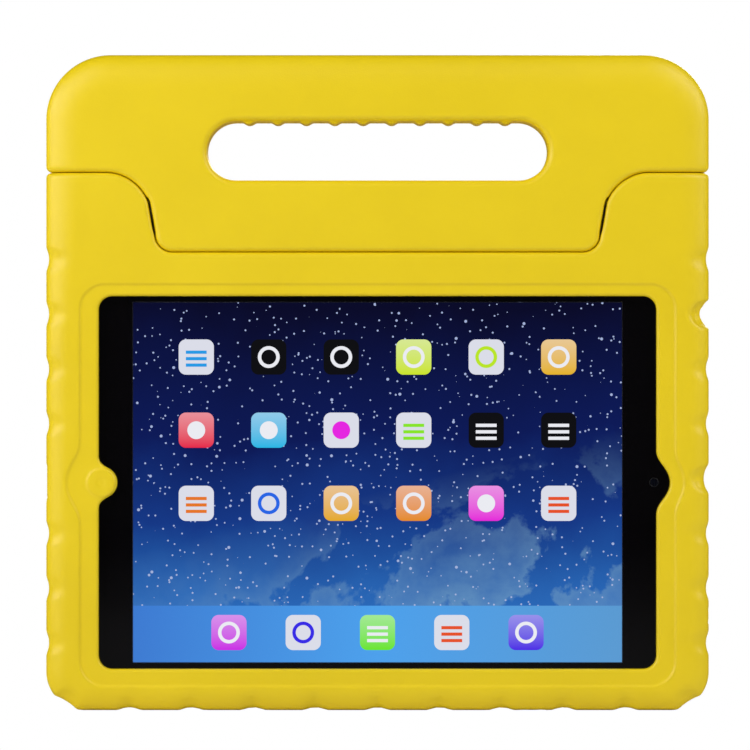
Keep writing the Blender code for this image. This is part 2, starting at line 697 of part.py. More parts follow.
def make_handle(parts, cutters):
    handle = slab("handle", outer_outline(), -HALF_DEPTH, HALF_DEPTH, parts, EDGE_WIDTH, EDGE_DEPTH)
    deep = HALF_DEPTH + PAST
    above = slab("above_split", above_split(LIP_HEIGHT + SPLIT_GAP, SPLIT_GAP), -deep, deep, cutters)
    boolean(handle, above, "INTERSECT")
    boolean(handle, handle_section(cutters), "INTERSECT")
    boolean(handle, tongue_bottom(cutters), "UNION")
    boolean(handle, hand_slot(cutters))
    for index in range(RIDGE_COUNT):
        x = (index - (RIDGE_COUNT - 1) / 2) * RIDGE_PITCH
        z = SLOT_CENTRE_HEIGHT + SLOT_HEIGHT / 2 - RIDGE_RISE + RIDGE_RADIUS
        reach = HALF_DEPTH - SLOT_ROUND - MESH_GAP
        ridge = rod("ridge", (x, -reach, z), (x, reach, z), RIDGE_RADIUS, cutters, sides=16)
        boolean(handle, ridge, "UNION")

    bores = []
    for side in SIDES.values():
        outer = tongue_side()
        inner = outer - BUSH_INSET - BUSH_LENGTH - MESH_GAP
        bores.append(pivot_rod("bush_bore", side, inner, outer + PAST, BUSH_RADIUS + MESH_GAP, cutters))
    boolean(handle, joined("bush_bores", bores, cutters))
    return finish(handle, FOAM, (0, 0, PIVOT_HEIGHT))


def make_pivots(parts, cutters):
    for name, side in SIDES.items():
        outer = tongue_side() - BUSH_INSET
        bush = pivot_rod("pivot_bush_" + name, side, outer - BUSH_LENGTH, outer, BUSH_RADIUS, parts)
        inner = outer - BUSH_LENGTH + BUSH_INSET
        radius = PIN_RADIUS + PIN_RUNNING_GAP
        bore = pivot_rod("pin_bore_" + name, side, inner, outer + PAST, radius, cutters)
        boolean(bush, bore)
        finish(bush, BLACK_PLASTIC, (0, 0, PIVOT_HEIGHT))
        end = split_x(PIVOT_HEIGHT) + PIN_GRIP
        pin = pivot_rod("pivot_pin_" + name, side, inner + BUSH_INSET, end, PIN_RADIUS, parts)
        finish(pin, BLACK_PLASTIC)


def make_tablet(parts, cutters):
    glass_back = GLASS_FRONT + GLASS_THICKNESS
    shell = tablet_form("tablet_rear_shell", GLASS_FRONT + GLASS_THICKNESS / 2, 0, parts)
    seat = slab("glass_seat", tablet_outline(MESH_GAP - GLASS_MARGIN), GLASS_FRONT - PAST,
                glass_back + MESH_GAP, cutters)
    boolean(shell, seat)
    inside = TABLET_WIDTH / 2 - SOCKET_REACH
    outside = TABLET_WIDTH / 2 + PAST
    sockets = [side_hole("charge_socket", -1, TABLET_CENTRE_HEIGHT, SOCKET_WIDTH, SOCKET_DEPTH,
                         SOCKET_CORNER_RADIUS, inside, outside, cutters)]
    jack_height = side_groove_height(SIDE_GROOVE_COUNT - 2)
    sockets.append(
        rod("jack_socket", (inside, TABLET_MIDDLE, jack_height), (outside, TABLET_MIDDLE, jack_height),
            JACK_SOCKET_RADIUS, cutters, sides=16)
    )
    camera_x, camera_z = rear_camera_place()
    lens_front = TABLET_BACK - TABLET_DEPTH / 3
    sockets.append(
        rod("lens_seat", (camera_x, lens_front, camera_z), (camera_x, TABLET_BACK + PAST, camera_z),
            CAMERA_LENS_RADIUS + MESH_GAP, cutters)
    )
    boolean(shell, joined("shell_sockets", sockets, cutters))
    finish(shell, SHELL_METAL)
    lens = rod("tablet_rear_camera", (camera_x, lens_front + MESH_GAP, camera_z),
               (camera_x, TABLET_BACK + TRAY_GAP + CAMERA_LENS_RISE, camera_z), CAMERA_LENS_RADIUS, parts)
    finish(lens, LENS)

    glass = slab("tablet_front_glass", tablet_outline(-GLASS_MARGIN), GLASS_FRONT, glass_back, parts)
    middle = TABLET_CENTRE_HEIGHT
    hole = panel("display_hole", MESH_GAP, GLASS_FRONT - PAST, glass_back + PAST, cutters)
    boolean(glass, hole)
    eye_x = TABLET_WIDTH / 2 - FRONT_CAMERA_INSET
    eye = rod("eye_hole", (eye_x, GLASS_FRONT - PAST, middle), (eye_x, glass_back + PAST, middle),
              FRONT_CAMERA_RADIUS + MESH_GAP, cutters, sides=16)
    boolean(glass, eye)
    finish(glass, BORDER_GLASS)
    lens = rod("tablet_front_camera", (eye_x, GLASS_FRONT + DISPLAY_SINK, middle), (eye_x, glass_back, middle),
               FRONT_CAMERA_RADIUS, parts, sides=16)
    finish(lens, LENS)
    finish(panel("tablet_display", 0, GLASS_FRONT + DISPLAY_SINK, glass_back, parts), SCREEN)


def panel(name, grow, front, back, group):
    """A rectangle of the display's size, grown by a gap."""
    half_width = TABLET_WIDTH / 2 - BORDER_WIDTH + grow
    half_height = TABLET_HEIGHT / 2 - BORDER_HEIGHT + grow
    return slab(name, rectangle(0, TABLET_CENTRE_HEIGHT, half_width, half_height), front, back, group)


def main():
    for thing in list(bpy.context.scene.objects):
        bpy.data.objects.remove(thing)
    parts = collection("shockproof_tablet_case")
    cutters = collection("cutters")
    cutters.hide_render = True
    make_case(parts, cutters)
    make_handle(parts, cutters)
    make_pivots(parts, cutters)
    make_tablet(parts, cutters)


main()
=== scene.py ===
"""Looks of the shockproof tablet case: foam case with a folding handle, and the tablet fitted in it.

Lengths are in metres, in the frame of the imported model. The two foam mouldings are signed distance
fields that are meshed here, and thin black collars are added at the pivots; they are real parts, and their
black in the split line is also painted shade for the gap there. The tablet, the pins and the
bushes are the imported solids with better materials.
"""

import json
import math

import bmesh
import bpy
import numpy as np
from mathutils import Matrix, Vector


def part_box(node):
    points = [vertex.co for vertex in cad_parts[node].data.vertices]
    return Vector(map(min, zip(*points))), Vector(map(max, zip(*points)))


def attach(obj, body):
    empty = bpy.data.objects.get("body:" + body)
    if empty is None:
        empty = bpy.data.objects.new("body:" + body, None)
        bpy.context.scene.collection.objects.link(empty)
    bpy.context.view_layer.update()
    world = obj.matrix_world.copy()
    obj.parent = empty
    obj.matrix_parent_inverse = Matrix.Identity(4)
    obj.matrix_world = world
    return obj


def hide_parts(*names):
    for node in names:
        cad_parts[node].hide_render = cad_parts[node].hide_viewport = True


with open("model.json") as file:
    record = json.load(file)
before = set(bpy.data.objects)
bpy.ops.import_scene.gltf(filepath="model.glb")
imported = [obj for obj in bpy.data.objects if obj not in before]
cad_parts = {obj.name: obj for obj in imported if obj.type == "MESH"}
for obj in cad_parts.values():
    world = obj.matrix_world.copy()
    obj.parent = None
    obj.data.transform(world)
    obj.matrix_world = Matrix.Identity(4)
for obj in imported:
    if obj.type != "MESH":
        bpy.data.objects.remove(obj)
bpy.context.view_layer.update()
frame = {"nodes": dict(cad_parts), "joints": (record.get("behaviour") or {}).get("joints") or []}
MM = 0.001

# Case and handle together, with rim widths at two heights
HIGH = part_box("case_body")[1]
HALF_WIDTH = HIGH.x
HALF_DEPTH = HIGH.y
CASE_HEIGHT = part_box("handle")[1].z
TOP_CORNER = 26 * MM
BOTTOM_CORNER = 15.5 * MM
EDGE_DEPTH = 6 * MM
EDGE_WIDTHS = ((150 * MM, 215 * MM), (9 * MM, 14 * MM))

# Tablet and tray
GLASS_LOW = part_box("tablet_front_glass")[0]
SHELL_LOW, SHELL_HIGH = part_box("tablet_rear_shell")
SCREEN_LOW, SCREEN_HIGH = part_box("tablet_display")
TABLET_BACK = SHELL_HIGH.y
TABLET_MIDDLE = (GLASS_LOW.y + TABLET_BACK) / 2
MIDDLE_HEIGHT = (SHELL_LOW.z + SHELL_HIGH.z) / 2
TRAY_HALF = (SHELL_HIGH.x, (SHELL_HIGH.z - SHELL_LOW.z) / 2)
TRAY_GAP = 0.4 * MM
TRAY_CORNER = 10 * MM
TRAY_BACK_ROUND = 4 * MM
TRAY_ROUND = 0.5 * MM
WINDOW_HALF = (112.25 * MM, 75 * MM)
WINDOW_CORNER = 5.5 * MM
WINDOW_ROUND = 1.2 * MM
CREASE_HALF = (119.75 * MM, 80.75 * MM)
CREASE_DROP = 1 * MM
CREASE_CORNER = 10 * MM
CREASE_DEPTH = 0.6 * MM
CREASE_RAMP = 1 * MM
KEY_RADIUS = 6.5 * MM
KEY_X = 7.5 * MM - WINDOW_HALF[0] - KEY_RADIUS
KEY_RISE = 0.4 * MM
KEY_EDGE = 0.3 * MM
KEY_RAMP = 0.9 * MM
KEY_ROOT = 30 * MM
KEY_BLEND = 4 * MM
KEY_BULGE_X = KEY_X - 2 * MM
KEY_BULGE = 12 * MM
KEY_BULGE_BLEND = 5 * MM
DIMPLE_RADIUS = 2.2 * MM
NOTCH_REACH = 5.5 * MM
NOTCH_RADIUS = 6 * MM
NOTCH_SQUASH = 0.85
NOTCH_BLEND = 5 * MM
NOTCH_BULGE_X = WINDOW_HALF[0] + 1 * MM
NOTCH_BULGE = 10 * MM
NOTCH_BULGE_BLEND = 4 * MM

# Knuckle joint
PIVOT_HEIGHT = frame["joints"][0]["pos_m"][2]
FOLD = math.radians(frame["joints"][0]["range_deg"][1])
KNUCKLE = 17.5 * MM
SPLIT_GAP = 0.5 * MM
SPLIT_GROWTH = 0.12 * MM
SPLIT_TAPER = 0.12
LIP_DROP = 14.5 * MM
TONGUE_HALF = 91 * MM
TONGUE_SLOPE = 0.176
SHOULDER_RADIUS = 14.5 * MM
TONGUE_CORNER = 6 * MM
CASE_SPLIT_ROUND = 2 * MM
HANDLE_SPLIT_ROUND = 2.3 * MM
BORE_RADIUS = 5.8 * MM
BORE_MIDDLE = TONGUE_HALF - 8 * MM
BORE_HALF = 10 * MM
BORE_ROUND = 0.5 * MM
# Black pivot collars: real parts, made wide enough that their black fills the split line at the pivots as
# painted shade for the gap
COLLAR_RADIUS = 10.4 * MM
COLLAR_BORE = 3.7 * MM
COLLAR_THICKNESS = 1.2 * MM
COLLAR_GAP = 0.2 * MM
COLLAR_EDGE = 0.2 * MM
COLLAR_TURNS = 64
OPENING_START = COLLAR_RADIUS - 1 * MM
OPENING_REACH = 14 * MM
OPENING_FADE = 1 * MM
OPENING_HALF = 0.55 * MM

# Hand slot
SLOT_HEIGHT = 225.3 * MM
SLOT_RADIUS = 11.95 * MM
SLOT_HALF = 68.75 * MM - SLOT_RADIUS
SLOT_ROUND = 2.5 * MM
RIDGE_COUNT = 10
RIDGE_PITCH = 11.5 * MM
RIDGE_RADIUS = 2.6 * MM
RIDGE_RISE = 1.2 * MM
RIDGE_ROUND = 1 * MM
RIDGE_BLEND = 0.8 * MM

# Bumper grooves
SIDE_GROOVES = 8
SIDE_PITCH = 22.08 * MM
SIDE_START = 27.1 * MM
BOTTOM_GROOVES = 9
BOTTOM_PITCH = 25 * MM
GROOVE_RADIUS = 9.35 * MM
GROOVE_BITE = 1.1 * MM
GROOVE_ROUND = 0.5 * MM
KEY_GROOVE_BITE = 2 * MM
JACK_GROOVE = SIDE_GROOVES - 2
JACK_GROOVE_RADIUS = 6.8 * MM
JACK_GROOVE_BITE = 3.2 * MM
CORNER_BITE = 1.5 * MM
CORNER_ANGLE = math.radians(58)

# How the bite fades with the angle in degrees round a rim of this width
FADE_WIDTH = 11 * MM
GROOVE_FADE = ((0, 25, 50, 75, 95), (1, 1, 0.75, 0.1, -0.3))

# Ports, rear camera hole and pads over the tablet's keys
HOLE_START = TRAY_HALF[0] - TRAY_BACK_ROUND
HOLE_ROUND = 1 * MM
PORT_HALF = (8 * MM, 4.25 * MM)
PORT_CORNER = 2 * MM
SPEAKER_PLACE = 1.5 * SIDE_PITCH
SPEAKER_HALF = (5 * MM, 2.1 * MM)
SPEAKER_CORNER = 1.5 * MM
JACK_HEIGHT = SIDE_START + JACK_GROOVE * SIDE_PITCH
JACK_RADIUS = 4 * MM
EYE_INSET = 12.5 * MM
EYE_RADIUS = 7 * MM
EYE_FLARE = 0.25
EYE_DEPTH = 2 * MM
VOLUME_X = 2.5 * BOTTOM_PITCH
VOLUME_HALF = (4.25 * MM, 2.75 * MM)
POWER_HEIGHT = SIDE_START + SIDE_PITCH / 2
POWER_HALF = (3 * MM, 2.75 * MM)
PAD_CORNER = 2.5 * MM
PAD_REACH = 5 * MM
MOAT_HALF = 1 * MM
MOAT_DEPTH = 0.9 * MM
MOAT_ROUND = 0.3 * MM

# Lit screen. Stars: cells in a metre, dot size and share of dark cells, for each of two layers.
# Tiles: columns, rows, the shares of the screen that they span across and up, and a seed.
STRIP_HEIGHT = 0.157
STARS = ((440.0, 0.17, 0.6), (220.0, 0.13, 0.55))
SKY_TILES = (6, 3, (0.055, 0.945), (0.34, 0.95), 3.0)
STRIP_TILES = (5, 1, (0.12, 0.88), (0.0, 0.165), 11.0)
TILE_HALF = 7.1 * MM
TILE_CORNER = 3 * MM
RING_RADII = (3 * MM, 4.4 * MM)
DOT_RADIUS = 3.6 * MM
BAR_PITCH = 2.6 * MM
BARS_HALF = (4.2 * MM, 3.9 * MM)

# Camera: straight on, framed by two pixel facts of the photo
PHOTO_WIDTH = 750
PIXEL = 0.402 * MM
MIDLINE_PIXEL = 377.5
BASE_PIXEL = 711
VIEW_DISTANCE = 2.2

# Lights: place, diameter and power in watts
LIGHTS = {
    "key": ((-0.5, -0.9, 0.85), 0.45, 2.05),
    "high_right": ((0.4, -0.8, 0.8), 0.45, 0.5),
    "front_left": ((-0.8, -0.8, 0.45), 0.6, 3.3),
    "front_right": ((0.7, -0.7, 1.0), 0.6, 4.0),
    "side_left": ((-0.9, -0.35, 0.45), 0.5, 3.0),
    "side_right": ((0.9, -0.35, 0.55), 0.5, 2.8),
    "behind": ((0.4, 1.2, 0.7), 0.6, 7.5),
}


def hypot_max(a, b):
    return np.hypot(np.maximum(a, 0), np.maximum(b, 0))


def meet(a, b, radius):
    """Where both fields are inside, with the edge between them rounded."""
    return np.minimum(-radius, np.maximum(a, b)) + hypot_max(a + radius, b + radius)


def cut(a, b, radius):
    """The first field less the second, with a rounded edge."""
    return meet(a, -b, radius)


def join(a, b, radius):
    """Both fields together, with a fillet where they meet."""
    return -meet(-a, -b, radius)


def rounded_box(x, z, half_x, half_z, radius):
    a, b = np.abs(x) - half_x + radius, np.abs(z) - half_z + radius
    return np.minimum(np.maximum(a, b), 0) + hypot_max(a, b) - radius


def capsule(along, across, half, radius):
    return np.hypot(np.maximum(np.abs(along) - half, 0), across) - radius


def silhouette(x, z):
    """Distance to the outline of case and handle, seen from the front."""
    middle = CASE_HEIGHT / 2
    corner = np.where(z > middle, TOP_CORNER, BOTTOM_CORNER)
    return rounded_box(x, z - middle, HALF_WIDTH, middle, corner)


def outer_form(rim, y, z):
    """The slab with elliptical rims, from the distance to its silhouette. They are fuller at the grip."""
    width = np.interp(z, *EDGE_WIDTHS)
    across = rim + width
    deep = np.abs(y) - HALF_DEPTH + EDGE_DEPTH
    share_a, share_b = across / width, deep / EDGE_DEPTH
    reach = np.hypot(share_a, share_b)
    slope = np.hypot(share_a / width, share_b / EDGE_DEPTH)
    corner = reach * (reach - 1) / np.maximum(slope, 1e-6)
    return np.where((across > 0) & (deep > 0), corner, np.maximum(rim, np.abs(y) - HALF_DEPTH))


def groove_places():
    """Middle, outward direction, radius and bite of each bumper groove."""
    places = []
    for index in range(SIDE_GROOVES):
        height = SIDE_START + index * SIDE_PITCH
        at_key = abs(height - MIDDLE_HEIGHT) < SIDE_PITCH / 2
        radius, bite = GROOVE_RADIUS, GROOVE_BITE
        if not at_key:
            places.append((0, height, -1, 0, radius, bite))
        else:
            bite = KEY_GROOVE_BITE
        if index == JACK_GROOVE:
            radius, bite = JACK_GROOVE_RADIUS, JACK_GROOVE_BITE
        places.append((0, height, 1, 0, radius, bite))
    for index in range(BOTTOM_GROOVES):
        along = (index - (BOTTOM_GROOVES - 1) / 2) * BOTTOM_PITCH
        places.append((along, MIDDLE_HEIGHT, 0, -1, GROOVE_RADIUS, GROOVE_BITE))
    for side in (-1, 1):
        at = side * (HALF_WIDTH - BOTTOM_CORNER)
        out = (side * math.cos(CORNER_ANGLE), -math.sin(CORNER_ANGLE))
        places.append((at, BOTTOM_CORNER, *out, GROOVE_RADIUS, CORNER_BITE))
    return places


def grooved(form, rim, x, y, z):
    """Cuts the bumper grooves, which fade out round both rims."""
    inward = np.maximum(rim + FADE_WIDTH, -FADE_WIDTH)
    outward = np.maximum(np.abs(y) - HALF_DEPTH + EDGE_DEPTH, 0)
    turn = np.degrees(np.arctan2(outward / EDGE_DEPTH, inward / FADE_WIDTH))
    fade = np.interp(turn, *GROOVE_FADE)
    dug = form
    for at_x, at_z, out_x, out_z, radius, bite in groove_places():
        across = (x - at_x) * out_z - (z - at_z) * out_x
        faces_out = (x - at_x) * out_x + (z - at_z) * out_z > 0
        tube = np.hypot(across, form - radius + bite * fade) - radius
        tube = np.where(faces_out, tube, FADE_WIDTH)
        dug = cut(dug, tube, GROOVE_ROUND)
    return dug


def window(x, z):
    """The screen opening, with the tab over the home key and the camera notch."""
    level = z - MIDDLE_HEIGHT
    shape = rounded_box(x, level, *WINDOW_HALF, WINDOW_CORNER)
    notch = np.hypot(x - WINDOW_HALF[0] - NOTCH_REACH + NOTCH_RADIUS, level * NOTCH_SQUASH) - NOTCH_RADIUS
    shape = join(shape, notch, NOTCH_BLEND)
    tab = capsule(x - KEY_X + KEY_ROOT, level, KEY_ROOT, KEY_RADIUS)
    return cut(shape, tab, KEY_BLEND)


def ease(share):
    """Smooth ramp from 0 to 1."""
    share = np.clip(share, 0, 1)
    return share * share * (3 - 2 * share)


def face_drop(x, z):
    """How far the front face is sunk: the soft step round the window, less the key and its dimple."""
    level = z - MIDDLE_HEIGHT
    step = rounded_box(x, level + CREASE_DROP, *CREASE_HALF, CREASE_CORNER)
    step = join(step, np.hypot(x - KEY_BULGE_X, level) - KEY_BULGE, KEY_BULGE_BLEND)
    step = join(step, np.hypot(x - NOTCH_BULGE_X, level) - NOTCH_BULGE, NOTCH_BULGE_BLEND)
    sunk = CREASE_DEPTH * ease(0.5 - step / CREASE_RAMP)
    key = np.hypot(x - KEY_X, level)
    disc = ease((KEY_RADIUS - KEY_EDGE - key) / KEY_RAMP)
    dimple = ease((DIMPLE_RADIUS - key) / KEY_RAMP)
    return sunk - KEY_RISE * (disc - dimple / 2)


def tray(x, y, z):
    """The space that holds the tablet, with its rounded back rim."""
    flat = rounded_box(x, z - MIDDLE_HEIGHT, TRAY_HALF[0] + TRAY_GAP, TRAY_HALF[1] + TRAY_GAP, TRAY_CORNER)
    form = meet(flat, y - TABLET_BACK - TRAY_GAP, TRAY_BACK_ROUND)
    return np.maximum(form, GLASS_LOW.y - TRAY_GAP - y)


def tapered(x, y):
    """Distance from the middle, less the joint's taper, which shuts off the view through the split."""
    return np.abs(x) - SPLIT_TAPER * np.clip(y + HALF_DEPTH, 0, HALF_DEPTH)


def split(x, up):
    """Field of all that lies above the split line, by the height above the pivots."""
    side = (np.abs(x) - TONGUE_HALF - up * TONGUE_SLOPE) / math.hypot(1, TONGUE_SLOPE)
    tongue = meet(side, -LIP_DROP - up, TONGUE_CORNER)
    return join(tongue, KNUCKLE - up, SHOULDER_RADIUS)


def above(x, y, up, gap=0.0):
    """Field of the handle's part over the split line. Behind and below the pivots it is only a cone."""
    return np.maximum(split(tapered(x, y), up), np.minimum(y, -up) - SPLIT_GAP) + gap


def cone(x, rho, radius, half, corner):
    """Field of a solid about the pivot line with the tongue's width there and its slope at the sides."""
    slope = TONGUE_SLOPE * KNUCKLE / radius
    side = (np.abs(x) - half + rho * slope) / math.hypot(1, slope)
    return meet(side, rho - radius, corner)


def handle_space(x, y, z):
    """All that the handle needs between rest and folded, and the space of the pivots."""
    up = z - PIVOT_HEIGHT
    rho = np.hypot(y, up)
    back = y * math.cos(FOLD) - up * math.sin(FOLD)
    high = y * math.sin(FOLD) + up * math.cos(FOLD)
    sweep = np.maximum(np.maximum(split(tapered(x, 0), rho), -y), back)
    folded = np.maximum(above(x, back, high), np.abs(back) - HALF_DEPTH - SPLIT_GAP)
    knuckle = cone(x, rho, KNUCKLE + SPLIT_GAP, TONGUE_HALF - SPLIT_GAP, TONGUE_CORNER + SPLIT_GAP)
    space = np.minimum(np.minimum(above(x, y, up), sweep), np.minimum(folded, knuckle))
    return np.minimum(space, collar_space(x, y, up, rho))


def collar_space(x, y, up, rho):
    """Room for the collars, with an opening along the split that thins out towards both faces. The opening
    lets the black collars show in the split, where their black is painted shade for the gap.
    """
    aside = np.abs(np.abs(x) - TONGUE_HALF)
    disc = np.maximum(aside - COLLAR_THICKNESS / 2 - COLLAR_GAP, rho - COLLAR_RADIUS - COLLAR_GAP)
    aside = np.abs(tapered(x, y) - TONGUE_HALF + SPLIT_GAP / 2 - up * TONGUE_SLOPE)
    opening = aside - OPENING_HALF * np.clip((OPENING_REACH - rho) / OPENING_FADE, 0, 1)
    ring = np.maximum(OPENING_START - rho, rho - OPENING_REACH)
    return np.minimum(disc, np.maximum(opening, ring))


def ports(x, y, z):
    """Charging port and speaker slots in the left side, headphone hole in the right side."""
    level, deep = z - MIDDLE_HEIGHT, y - TABLET_MIDDLE
    port = rounded_box(level, deep, *PORT_HALF, PORT_CORNER)
    slots = rounded_box(np.abs(level) - SPEAKER_PLACE, deep, *SPEAKER_HALF, SPEAKER_CORNER)
    left = np.maximum(np.minimum(port, slots), x + HOLE_START)
    return np.minimum(left, np.maximum(np.hypot(z - JACK_HEIGHT, deep) - JACK_RADIUS, HOLE_START - x))


def camera_hole(x, y, z):
    """The flared hole for the rear camera."""
    eye = np.hypot(x - TRAY_HALF[0] + EYE_INSET, z - SHELL_LOW.z - EYE_INSET)
    flare = (eye - EYE_RADIUS - EYE_FLARE * (y - TABLET_BACK)) / math.hypot(1, EYE_FLARE)
    return np.maximum(flare, TABLET_BACK - EYE_DEPTH - y)


def moats(x, y, z):
    """The furrows round the pads over the volume keys (bottom edge) and the power key (right side)."""
    deep = y - TABLET_MIDDLE
    volume = np.maximum(rounded_box(x - VOLUME_X, deep, *VOLUME_HALF, PAD_CORNER), z - PAD_REACH)
    power = rounded_box(z - POWER_HEIGHT, deep, *POWER_HALF, PAD_CORNER)
    power = np.maximum(power, HALF_WIDTH - PAD_REACH - x)
    return np.abs(np.minimum(volume, power) - MOAT_HALF) - MOAT_HALF


def case_field(x, y, z):
    rim = silhouette(x, z)
    form = grooved(outer_form(rim, y, z), rim, x, y, z)
    form = np.maximum(form, face_drop(x, z) - HALF_DEPTH - y)
    form = cut(form, tray(x, y, z), TRAY_ROUND)
    form = cut(form, np.maximum(window(x, z), y - TABLET_MIDDLE), WINDOW_ROUND)
    form = cut(form, ports(x, y, z), HOLE_ROUND)
    form = cut(form, camera_hole(x, y, z), HOLE_ROUND)
    form = cut(form, np.maximum(moats(x, y, z), -form - MOAT_DEPTH), MOAT_ROUND)
    return cut(form, handle_space(x, y, z) + SPLIT_GROWTH, CASE_SPLIT_ROUND)


def ridges(x, y, z):
    """The row of finger ridges under the top of the hand slot."""
    middle = (RIDGE_COUNT - 1) / 2
    place = np.clip(np.round(x / RIDGE_PITCH + middle), 0, RIDGE_COUNT - 1) - middle
    drop = z - SLOT_HEIGHT - SLOT_RADIUS + RIDGE_RISE - RIDGE_RADIUS
    ridge = np.hypot(x - place * RIDGE_PITCH, drop) - RIDGE_RADIUS
    return meet(ridge, np.abs(y) - HALF_DEPTH + SLOT_ROUND, RIDGE_ROUND)


def handle_field(x, y, z):
    up = z - PIVOT_HEIGHT
    rho = np.hypot(y, up)
    knuckle = cone(x, rho, KNUCKLE, TONGUE_HALF - 2 * SPLIT_GAP, TONGUE_CORNER)
    inside = np.minimum(above(x, y, up, SPLIT_GAP), knuckle)
    form = meet(outer_form(silhouette(x, z), y, z), inside - SPLIT_GROWTH, HANDLE_SPLIT_ROUND)
    form = cut(form, capsule(x, z - SLOT_HEIGHT, SLOT_HALF, SLOT_RADIUS), SLOT_ROUND)
    form = join(form, ridges(x, y, z), RIDGE_BLEND)
    bore = np.maximum(rho - BORE_RADIUS, np.abs(np.abs(x) - BORE_MIDDLE) - BORE_HALF)
    return cut(form, np.minimum(bore, collar_space(x, y, up, rho)), BORE_ROUND)


def stations(*runs):
    """Grid lines through (start, end, step) runs in mm that follow each other."""
    coarse = 1
    lines = [np.linspace(a, b, max(2, round((b - a) / step / coarse) + 1))[:-1] for a, b, step in runs]
    return np.concatenate(lines + [[runs[-1][1]]]) * MM


def mirrored(lines):
    return np.concatenate([-lines[:0:-1], lines])


def surface_net(field, axes):
    """Points and quads of the field's zero surface on a grid of lines."""
    values = field(*np.meshgrid(*axes, indexing="ij", sparse=True))
    inside = values < 0
    cells = np.array([len(line) - 1 for line in axes])
    strides = np.array([cells[1] * cells[2], cells[2], 1])
    total = int(cells.prod())
    weight = np.zeros(total)
    place = np.zeros((total, 3))
    quads = []
    for axis in range(3):
        low = [slice(None)] * 3
        high = [slice(None)] * 3
        low[axis], high[axis] = slice(None, -1), slice(1, None)
        low, high = tuple(low), tuple(high)
        at = np.argwhere(inside[low] != inside[high])
        first, second = values[low][tuple(at.T)], values[high][tuple(at.T)]
        point = np.stack([axes[i][at[:, i]] for i in range(3)], 1)
        span = axes[axis][at[:, axis] + 1] - axes[axis][at[:, axis]]
        point[:, axis] += span * first / (first - second)
        b, c = (axis + 1) % 3, (axis + 2) % 3
        ring = []
        for step_b, step_c in ((-1, -1), (0, -1), (0, 0), (-1, 0)):
            cell = at.copy()
            cell[:, b] += step_b
            cell[:, c] += step_c
            ring.append(cell @ strides)
        ring = np.stack(ring, 1)
        for corner in ring.T:
            weight += np.bincount(corner, minlength=total)
            for i in range(3):
                place[:, i] += np.bincount(corner, point[:, i], minlength=total)
        flip = first > second
        ring[flip] = ring[flip][:, ::-1]
        quads.append(ring)
    used = np.flatnonzero(weight)
    index = np.zeros(total, int)
    index[used] = np.arange(len(used))
    return place[used] / weight[used, None], index[np.concatenate(quads)]


def settle(field, points):
    """Moves the points on to the zero surface, by a few steps down the field's slope."""
    probe, least_slope, longest = 0.05 * MM, 0.2, 0.5 * MM
    for _ in range(3):
        value = field(*points.T)
        slope = []
        for axis in range(3):
            shift = np.zeros(3)
            shift[axis] = probe
            slope.append((field(*(points + shift).T) - field(*(points - shift).T)) / (2 * probe))
        slope = np.stack(slope, 1)
        size = np.maximum((slope**2).sum(1), least_slope)
        step = np.clip(value / size, -longest, longest)
        points = points - slope * step[:, None]
    return points


def moulding(name, field, axes, look, body, node):
    """Meshes a field, thins the flat stretches and puts the piece in its body."""
    points, quads = surface_net(field, axes)
    points = settle(field, points)
    mesh = bpy.data.meshes.new(name)
    mesh.from_pydata(points.tolist(), [], quads.tolist())
    work = bmesh.new()
    work.from_mesh(mesh)
    work.normal_update()
    flat = {f for f in work.faces if all(abs(v.normal.y) > 1 - 1e-9 for v in f.verts)}
    edges = [e for e in work.edges if all(f in flat for f in e.link_faces)]
    verts = [v for v in work.verts if all(f in flat for f in v.link_faces)]
    bmesh.ops.dissolve_limit(work, angle_limit=0.001, verts=verts, edges=edges)
    bmesh.ops.triangulate(work, faces=[f for f in work.faces if len(f.verts) > 4])
    work.to_mesh(mesh)
    work.free()
    mesh.shade_smooth()
    mesh.materials.append(look)
    piece = bpy.data.objects.new(name, mesh)
    bpy.context.scene.collection.objects.link(piece)
    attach(piece, body)
    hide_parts(node)
    print(name, len(mesh.polygons), "faces")


class Socket:
    """A shader socket that can be used in sums."""

    def __init__(self, tree, socket):
        self.tree, self.socket = tree, socket

    def node(self, kind, output=0, settings=(), **inputs):
        """Adds any node. An input is a Socket or a constant, named or numbered as in n0."""
        made = self.tree.nodes.new(kind)
        for name, value in settings:
            setattr(made, name, value)
        for name, value in inputs.items():
            number = name[1:].isdigit() and name[0] == "n"
            target = made.inputs[int(name[1:])] if number else made.inputs[name.replace("_", " ")]
            if isinstance(value, Socket):
                self.tree.links.new(value.socket, target)
            else:
                target.default_value = value
        return Socket(self.tree, made.outputs[output])

    def math(self, operation, *values):
        inputs = {f"n{i}": value for i, value in enumerate((self, *values))}
        return self.node("ShaderNodeMath", settings=[("operation", operation)], **inputs)

    def __add__(self, other):
        return self.math("ADD", other)

    def __sub__(self, other):
        return self.math("SUBTRACT", other)

    def __mul__(self, other):
        return self.math("MULTIPLY", other)

    def __truediv__(self, other):
        return self.math("DIVIDE", other)

    __radd__ = __add__
    __rmul__ = __mul__

    def __rsub__(self, other):
        return (self * -1.0) + other

    def __lt__(self, other):
        return self.math("LESS_THAN", other)

    def __gt__(self, other):
        return self.math("GREATER_THAN", other)

    def mix(self, first, second):
        """Colour between two colours, by this share."""
        return self.node("ShaderNodeMix", 2, [("data_type", "RGBA")], n0=self, n6=first, n7=second)

    def range(self, start, end, low=0.0, high=1.0):
        return self.node("ShaderNodeMapRange", n0=self, n1=start, n2=end, n3=low, n4=high)


def linear(*colour):
    """An sRGB colour of 0 to 255 as Blender's linear colour."""
    shares = [c / 255 for c in colour]
    return (*(((s + 0.055) / 1.055) ** 2.4 if s > 0.04045 else s / 12.92 for s in shares), 1.0)


